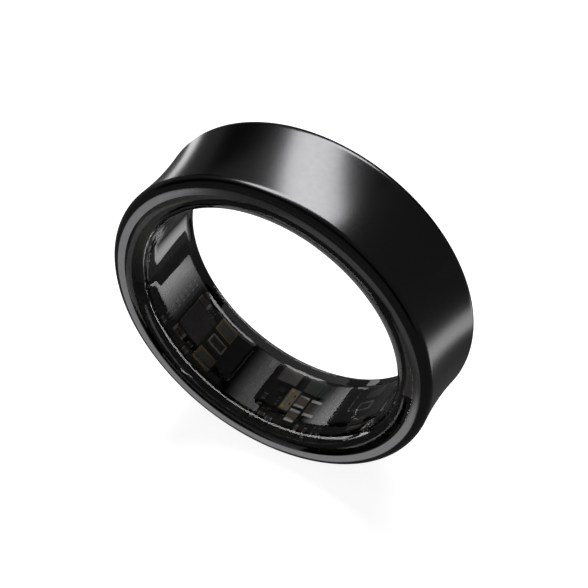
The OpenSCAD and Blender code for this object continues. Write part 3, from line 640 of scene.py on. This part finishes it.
# Dark paper lies all round under the ring, with a white arc where the flat rim looks. The other cards make the
# glossy liner's reflections: its bore on the left, the slope and edge at the front, and the veil and far edges of
# the windows
cards = {
    "darkPaper": {
        "level": 0.09,
        "corners": lay(floorTop, (-600, -600), (600, -600), (600, 600), (-600, 600)),
    },
    "whiteArc": {
        "level": 0.9, "receivers": metalOnly,
        "corners": lay(
            cardTop, (-24, -24), (-23, -14), (-20, -11), (-15.5, -7), (-11.5, -5.3), (-6, -4.2), (0, -3.75),
            (5, -4.3), (8, -6.5), (8.7, -10), (7.3, -12.6), (6.2, -12.6), (4.4, -9.5), (3, -7.2), (0, -6.3),
            (-4, -7), (-8, -8.7), (-11, -10.8), (-13.8, -14), (-15.5, -18), (-19, -25)),
    },
    "boreGlow": {
        "level": 3.0, "receivers": resinOnly, "fade": {"Z": (-9.6, -4.2), "Y": (10, 14.5)},
        "corners": side(2.4, (3.9, -10.5), (15, -10.5), (15, -3.5), (3.9, -3.5)),
    },
    "borePatch": {
        "level": 2.0, "receivers": resinOnly, "fade": {"X": (-5.3, -8.4), "Y": (9, 11)},
        "corners": lay(-8, (-8.3, 3.8), (-4.6, 3.8), (-4.7, 5.4), (-5.2, 7.4), (-5.2, 11), (-8.3, 11)),
    },
    "slopeGlow": {
        "level": 0.6, "receivers": resinOnly, "fade": {"Y": (-6, 6)},
        "corners": lay(-2, (-7.2, -9.5), (5, -9.5), (8, -4), (5, 1), (-7.2, 1)),
    },
    "edgeLine": {
        "level": 5.0, "receivers": resinOnly,
        "corners": lay(-8, (-7, -4.1), (-2, -4.4), (2, -5.6), (2, -6.8), (-2, -5.3), (-7, -4.9)),
    },
    "edgeSide": {
        "level": 5.0, "receivers": resinOnly,
        "corners": side(12, (-8, -11.9), (-13, -11.9), (-13, -4.5), (-8, -4.5)),
    },
    "overGlow": {
        "level": 1.3, "receivers": resinOnly, "fade": {"X": (0, 190)},
        "corners": lay(450, (-60, 120), (240, 120), (240, 460), (-60, 460)),
    },
    "sideGlow": {
        "level": 2.2, "receivers": resinOnly, "fade": {"Y": (78, 98), "Z": (50, 100)},
        "corners": side(-100, (55, 15), (98, 15), (98, 105), (55, 105)),
    },
    "farLine": {
        "level": 3.2, "receivers": resinOnly,
        "corners": stand(
            60, (36, -11.5), (31, -1), (25, 6), (19, 15), (12, 20), (0, 24), (-8, 25), (-16, 23), (-23, 20),
            (-31, 13), (-36, 8), (-28, -6), (-21, 3), (-10, 7), (4, 4), (12, -5), (14, -11.5)),
    },
    "farFlare": {
        "level": 0.4, "receivers": resinOnly,
        "corners": stand(
            60.5, (44, -4), (43, 8), (38, 20), (32, 28), (24, 35), (8, 42), (-9, 43), (-26, 38), (-42, 27),
            (-52, 8), (-42, 4), (-34, 15), (-22, 24), (-9, 28), (5, 27), (18, 23), (27, 14), (34, -2)),
    },
    "farRight": {
        "level": 1.0, "receivers": resinOnly,
        "corners": lay(cardTop, (-40, 52), (-40, 44), (-14, 21), (-9.5, 17.5), (-8, 20), (-24, 50)),
    },
}
for name, card in cards.items():
    makeCard(name, **card)

# Softboxes make the band's three bright streaks. The flat ones on the floor light the rim and the resin's slope
lampHeight = -11.9


def flatLamp(x, y, along, width, height, radiance, receivers):
    return {"stands": (x, y, lampHeight), "faces": (x, y, 0), "along": along, "width": width, "height": height,
            "radiance": radiance, "receivers": receivers}


lamps = {
    "softboxTop": {
        "stands": (-90, 245, 312), "faces": (1, 0, 11), "along": (-0.66, -0.642, 0.392),
        "width": 185, "height": 420, "radiance": 8.6, "receivers": allButResin,
    },
    "softboxRight": {
        "stands": (21.3, 11.5, -7.4), "faces": (11.6, 0, 2.5), "along": (-0.62, 0.71, 0.28),
        "width": 4.2, "height": 9, "radiance": 2.0, "receivers": metalOnly,
    },
    "softboxLeft": {
        "stands": (-28.9, 18.9, -1.6), "faces": (-7.9, 0, 8.9), "along": (0.69, 0.25, -0.68),
        "width": 2.2, "height": 13, "radiance": 1.8, "receivers": metalOnly,
    },
    "rimFront": flatLamp(-1, -21, (1, 0, 0), 12, 18, 0.12, metalOnly),
    "slopeTop": flatLamp(-6, -22, (1, 0, 0), 8, 12, 0.8, resinOnly),
    "slopeLeft": flatLamp(-19.3, -15.5, (0.35, 1, 0), 7, 15, 0.45, resinOnly),
    "slopeBottom": flatLamp(-4.5, -5.7, (1, 0.2, 0), 1.8, 14, 0.2, resinOnly),
    "slopeRight": flatLamp(3.7, -9.5, (0, 1, 0), 1.6, 3.6, 0.9, resinOnly),
}
for name, lamp in lamps.items():
    makeLamp(name, **lamp)


# A hoop of light stands in front of the ring, which its rounded bore edge picks up as a line
hoop = {"radius": 300, "near": -170, "far": -20, "level": 5.0, "steps": 48}


def makeHoop():
    bm = bmesh.new()
    start = bm.verts.new(Vector((hoop["radius"], hoop["near"], 0)) * mm)
    end = bm.verts.new(Vector((hoop["radius"], hoop["far"], 0)) * mm)
    bm.edges.new((start, end))
    bmesh.ops.spin(bm, geom=bm.verts[:] + bm.edges[:], cent=(0, 0, 0), axis=(0, 1, 0), angle=2 * pi,
                   steps=hoop["steps"], use_merge=True)
    makeStageThing("hoop", bm, hoop["level"], resinOnly)


def makeTent():
    bm = bmesh.new()
    bmesh.ops.create_icosphere(bm, subdivisions=4, radius=stage["tentSize"] * mm)
    makeStageThing("tent", bm, stage["tent"])


makeHoop()
makeTent()


def makeWorld():
    world = bpy.data.worlds.new("studio")
    world.use_nodes = True
    scene.world = world
    tree = world.node_tree
    sky = tree.nodes["Background"]
    sky.inputs["Color"].default_value = (1, 1, 1, 1)
    seen = raySum(tree, ["Is Camera Ray", "Is Glossy Ray", "Is Transmission Ray"])
    level = addNode(tree, "ShaderNodeMapRange")
    level.inputs["To Min"].default_value, level.inputs["To Max"].default_value = stage["world"], 1.0
    tree.links.new(seen, level.inputs["Value"])
    tree.links.new(level.outputs["Result"], sky.inputs["Strength"])


makeWorld()
print("stage and lamps made")
